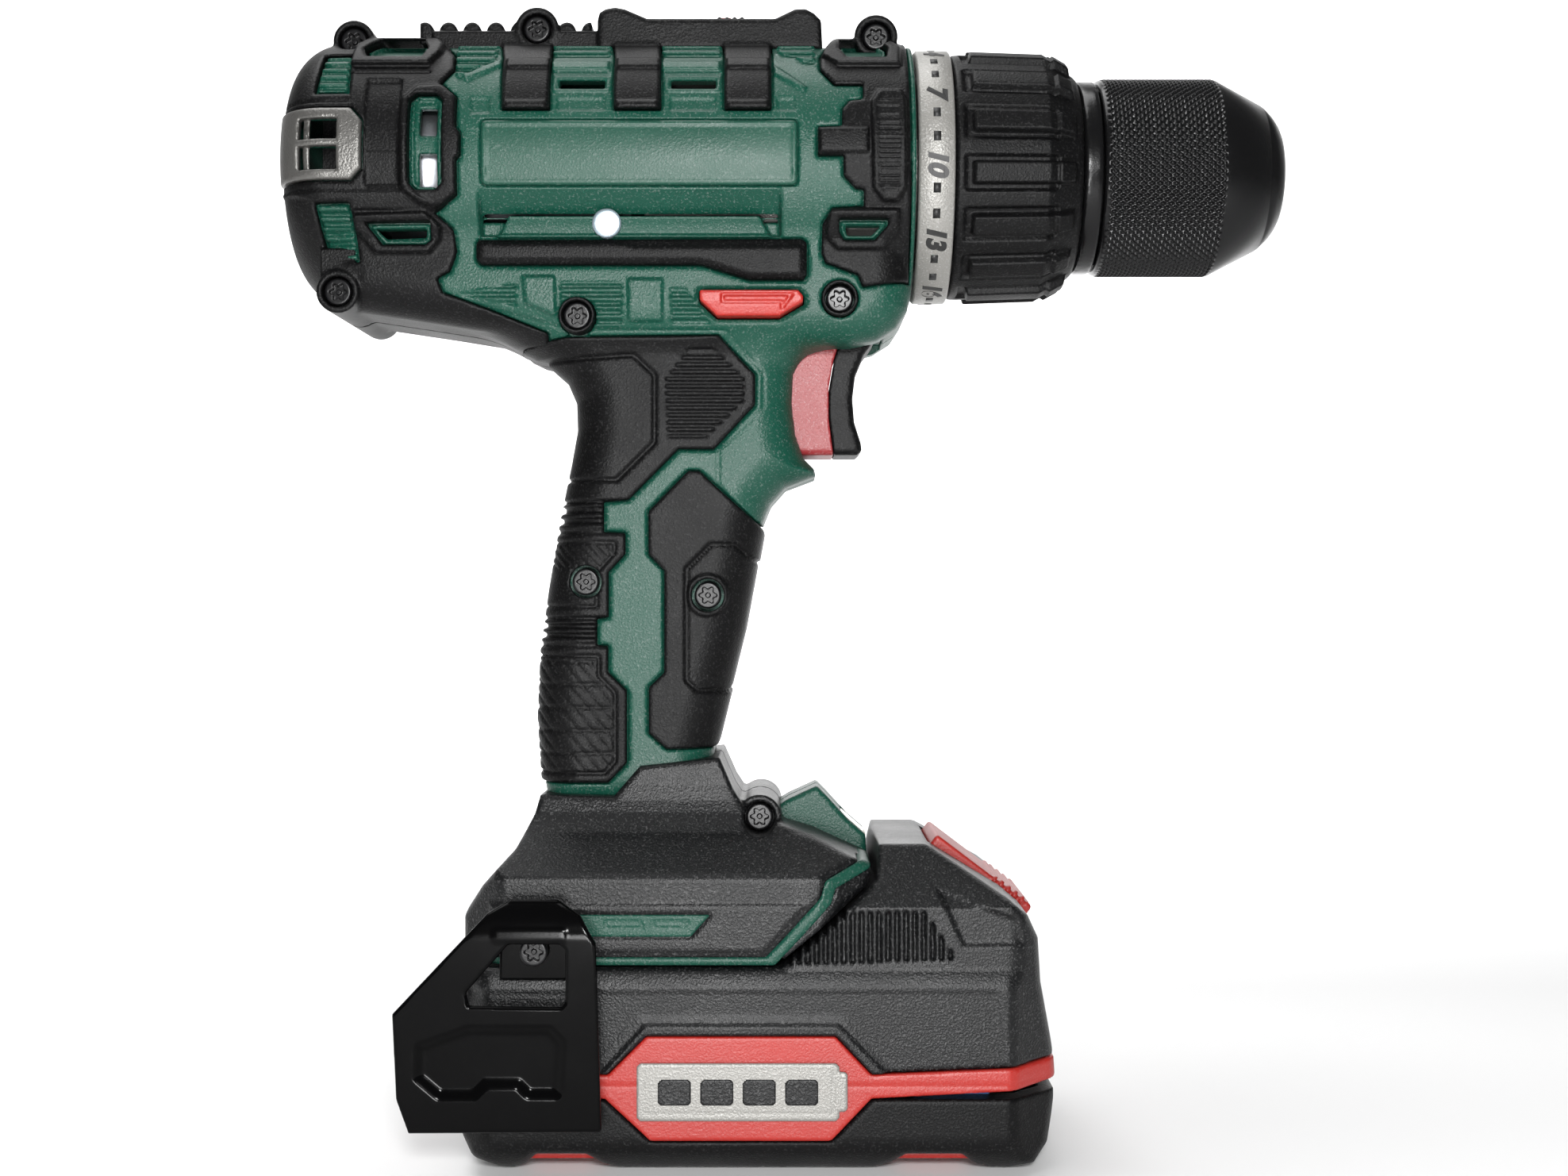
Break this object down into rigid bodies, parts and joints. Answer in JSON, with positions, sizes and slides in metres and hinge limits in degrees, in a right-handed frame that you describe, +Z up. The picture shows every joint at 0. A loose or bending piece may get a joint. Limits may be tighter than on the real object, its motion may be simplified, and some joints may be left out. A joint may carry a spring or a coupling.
{
  "type": "cordless drill driver",
  "caption": "Cordless drill driver with a keyless chuck, torque ring, trigger, gear train, belt clip and slide-on battery, green and black.",
  "frame": {"origin": "on the floor at the middle of the battery's base", "axes": "+X along the chuck, +Z up, the belt clip on the -Y side"},
  "size_m": [0.2132, 0.0829, 0.243],
  "materials": {
    "green_shell": "moulded grain",
    "rubber": "satin overmould",
    "dark_plastic": "moulded grain",
    "grey_plastic": "satin",
    "label": "satin plate",
    "clip_black": "gloss black",
    "magnet": "bright",
    "lens": "diffusing",
    "screw_steel": "blackened",
    "steel": "machined",
    "copper": "windings",
    "chuck_steel": "blackened",
    "band_silver": "satin silver",
    "trigger_red": "satin",
    "red": "satin",
    "cell": "sleeve"
  },
  "bodies": {
    "housing": {"housing_right": "green_shell", "housing_left": "green_shell", "rear_bumper_right": "rubber", "rear_bumper_left": "rubber", "top_bumper_right": "rubber", "top_bumper_left": "rubber", "front_bumper_right": "rubber", "front_bumper_left": "rubber", "side_bar_right": "rubber", "side_bar_left": "rubber", "palm_grip_right": "rubber", "palm_grip_left": "rubber", "finger_grip_right": "rubber", "finger_grip_left": "rubber", "foot_cover_right": "dark_plastic", "foot_cover_left": "dark_plastic", "vent_cage": "grey_plastic", "label_plate": "label", "belt_clip": "clip_black", "bit_magnet": "magnet", "lamp_lens": "lens", "screw_1": "screw_steel", "screw_2": "screw_steel", "screw_3": "screw_steel", "screw_4": "screw_steel", "screw_5": "screw_steel", "screw_6": "screw_steel", "screw_7": "screw_steel", "screw_8": "screw_steel", "screw_9": "screw_steel", "clip_screw": "screw_steel", "motor_can": "steel", "gearbox_case": "grey_plastic", "switch_module": "dark_plastic", "terminal_block": "dark_plastic"},
    "spindle": {"spindle": "steel", "chuck_body": "chuck_steel"},
    "chuck_sleeve": {"chuck_sleeve": "chuck_steel"},
    "jaw_1": {"jaw_1": "steel"},
    "jaw_2": {"jaw_2": "steel"},
    "jaw_3": {"jaw_3": "steel"},
    "torque_ring": {"torque_ring": "rubber", "scale_band": "band_silver"},
    "carrier_1": {"carrier_1": "steel"},
    "rotor": {"rotor": "copper"},
    "planet_1_1": {"planet_1_1": "steel"},
    "planet_1_2": {"planet_1_2": "steel"},
    "planet_1_3": {"planet_1_3": "steel"},
    "planet_2_1": {"planet_2_1": "steel"},
    "planet_2_2": {"planet_2_2": "steel"},
    "planet_2_3": {"planet_2_3": "steel"},
    "trigger": {"trigger": "trigger_red", "trigger_pad": "rubber"},
    "direction_selector": {"direction_selector": "red"},
    "speed_selector": {"speed_selector": "rubber"},
    "battery": {"battery_case": "dark_plastic", "battery_base": "rubber", "battery_band": "red", "battery_cells": "cell"},
    "battery_button": {"battery_button": "red"}
  },
  "joints": [
    {"name": "spindle_spin", "type": "hinge", "parent": "housing", "child": "spindle", "pos_m": [0.05, 0, 0.2065], "axis": [1, 0, 0], "continuous": true},
    {"name": "carrier_1_spin", "type": "hinge", "parent": "housing", "child": "carrier_1", "pos_m": [-0.01, 0, 0.2065], "axis": [1, 0, 0], "continuous": true},
    {"name": "rotor_spin", "type": "hinge", "parent": "housing", "child": "rotor", "pos_m": [-0.05, 0, 0.2065], "axis": [1, 0, 0], "continuous": true},
    {"name": "planet_2_1_spin", "type": "hinge", "parent": "spindle", "child": "planet_2_1", "pos_m": [-0.001, 0.0126, 0.2065], "axis": [1, 0, 0], "continuous": true},
    {"name": "planet_2_2_spin", "type": "hinge", "parent": "spindle", "child": "planet_2_2", "pos_m": [-0.001, -0.0063, 0.21741], "axis": [1, 0, 0], "continuous": true},
    {"name": "planet_2_3_spin", "type": "hinge", "parent": "spindle", "child": "planet_2_3", "pos_m": [-0.001, -0.0063, 0.19559], "axis": [1, 0, 0], "continuous": true},
    {"name": "planet_1_1_spin", "type": "hinge", "parent": "carrier_1", "child": "planet_1_1", "pos_m": [-0.0165, 0.0126, 0.2065], "axis": [1, 0, 0], "continuous": true},
    {"name": "planet_1_2_spin", "type": "hinge", "parent": "carrier_1", "child": "planet_1_2", "pos_m": [-0.0165, -0.0063, 0.21741], "axis": [1, 0, 0], "continuous": true},
    {"name": "planet_1_3_spin", "type": "hinge", "parent": "carrier_1", "child": "planet_1_3", "pos_m": [-0.0165, -0.0063, 0.19559], "axis": [1, 0, 0], "continuous": true},
    {"name": "sleeve_turn", "type": "hinge", "parent": "spindle", "child": "chuck_sleeve", "pos_m": [0.09, 0, 0.2065], "axis": [1, 0, 0], "range_deg": [0, 2160]},
    {"name": "jaw_1_slide", "type": "slide", "parent": "spindle", "child": "jaw_1", "axis": [0.9636, 0, -0.2672], "range_m": [0, 0.0226]},
    {"name": "jaw_2_slide", "type": "slide", "parent": "spindle", "child": "jaw_2", "axis": [0.9636, 0.2314, 0.1336], "range_m": [0, 0.0226]},
    {"name": "jaw_3_slide", "type": "slide", "parent": "spindle", "child": "jaw_3", "axis": [0.9636, -0.2314, 0.1336], "range_m": [0, 0.0226]},
    {"name": "torque_ring_turn", "type": "hinge", "parent": "housing", "child": "torque_ring", "pos_m": [0.05, 0, 0.2065], "axis": [1, 0, 0], "range_deg": [-150, 150]},
    {"name": "trigger_press", "type": "slide", "parent": "housing", "child": "trigger", "axis": [-1, 0, 0], "range_m": [0, 0.0065], "stiffness_N_per_m": 800},
    {"name": "direction_shift", "type": "slide", "parent": "housing", "child": "direction_selector", "axis": [0, 1, 0], "range_m": [-0.0025, 0.0025]},
    {"name": "speed_shift", "type": "slide", "parent": "housing", "child": "speed_selector", "axis": [-1, 0, 0], "range_m": [0, 0.0095]},
    {"name": "battery_slide", "type": "slide", "parent": "housing", "child": "battery", "axis": [1, 0, 0], "range_m": [0, 0.1]},
    {"name": "battery_button_press", "type": "slide", "parent": "battery", "child": "battery_button", "axis": [-0.6036, 0, -0.7973], "range_m": [0, 0.003], "stiffness_N_per_m": 1500}
  ],
  "couplings": [
    {"joint": "carrier_1_spin", "follows": "spindle_spin", "ratio": 4},
    {"joint": "rotor_spin", "follows": "spindle_spin", "ratio": 16},
    {"joint": "planet_2_1_spin", "follows": "spindle_spin", "ratio": -3},
    {"joint": "planet_2_2_spin", "follows": "spindle_spin", "ratio": -3},
    {"joint": "planet_2_3_spin", "follows": "spindle_spin", "ratio": -3},
    {"joint": "planet_1_1_spin", "follows": "spindle_spin", "ratio": -12},
    {"joint": "planet_1_2_spin", "follows": "spindle_spin", "ratio": -12},
    {"joint": "planet_1_3_spin", "follows": "spindle_spin", "ratio": -12},
    {"joint": "jaw_1_slide", "follows": "sleeve_turn", "m_per_rad": 0.00059683},
    {"joint": "jaw_2_slide", "follows": "sleeve_turn", "m_per_rad": 0.00059683},
    {"joint": "jaw_3_slide", "follows": "sleeve_turn", "m_per_rad": 0.00059683}
  ]
}
